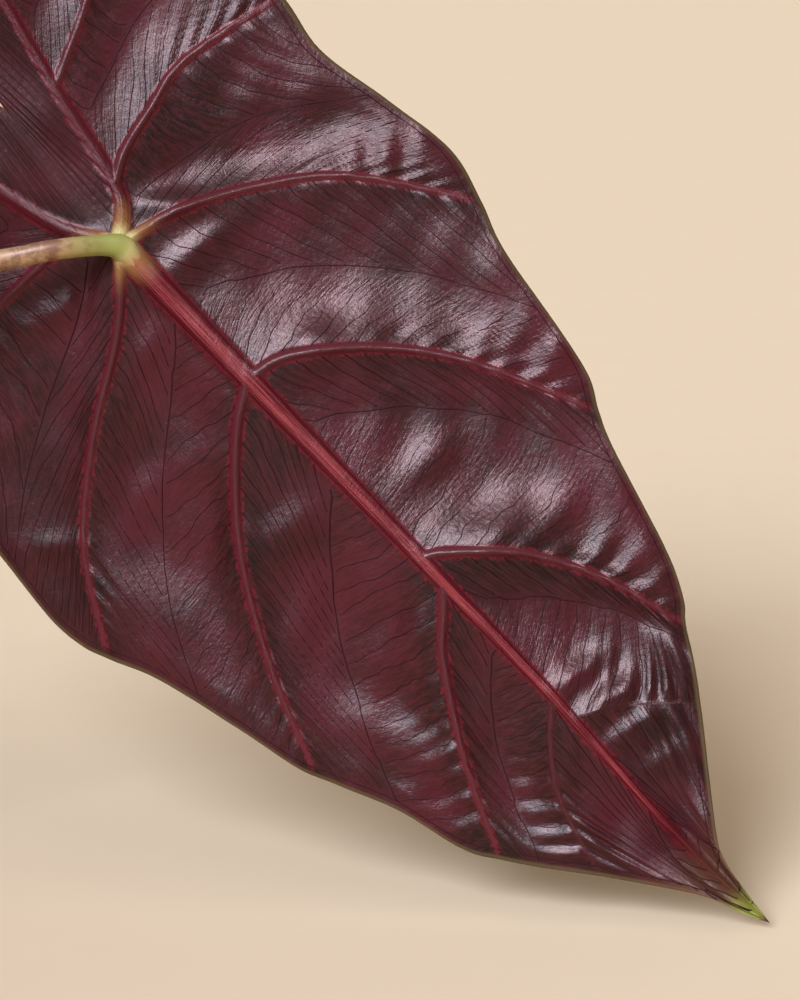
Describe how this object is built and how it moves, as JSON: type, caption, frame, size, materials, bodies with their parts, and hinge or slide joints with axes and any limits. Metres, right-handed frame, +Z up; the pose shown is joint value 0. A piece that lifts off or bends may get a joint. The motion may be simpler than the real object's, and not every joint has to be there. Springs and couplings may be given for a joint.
{
  "type": "potted red vein alocasia",
  "caption": "House plant in a plain terracotta pot, with arrow-shaped glossy leaves that are burgundy with red veins below.",
  "frame": {"origin": "middle of the pot's flat base, on the surface that the pot stands on", "axes": "+Z up; +X towards the low leaf that hangs beside the pot; -Y towards the viewer, who sees that leaf's underside"},
  "size_m": [0.4777, 0.3862, 0.3804],
  "materials": {
    "terracotta": "plain unglazed terracotta, matt",
    "potting_mix": "dark damp bark and peat potting mix",
    "stem": "brown ringed stem with dry leaf scars",
    "petiole": "satin tan-pink leaf stalk with brown mottling, yellow-green at the blade",
    "blade": "glossy waxy leaf, burgundy with red veins below and dark green above"
  },
  "bodies": {
    "root": {"pot": "terracotta", "soil": "potting_mix", "stem": "stem", "leaf_1_petiole": "petiole", "leaf_1_blade": "blade", "leaf_2_petiole": "petiole", "leaf_2_blade": "blade", "leaf_3_petiole": "petiole", "leaf_3_blade": "blade", "leaf_4_petiole": "petiole", "leaf_4_blade": "blade", "leaf_5_petiole": "petiole", "leaf_5_blade": "blade", "leaf_6_petiole": "petiole", "leaf_6_blade": "blade"}
  },
  "joints": []
}
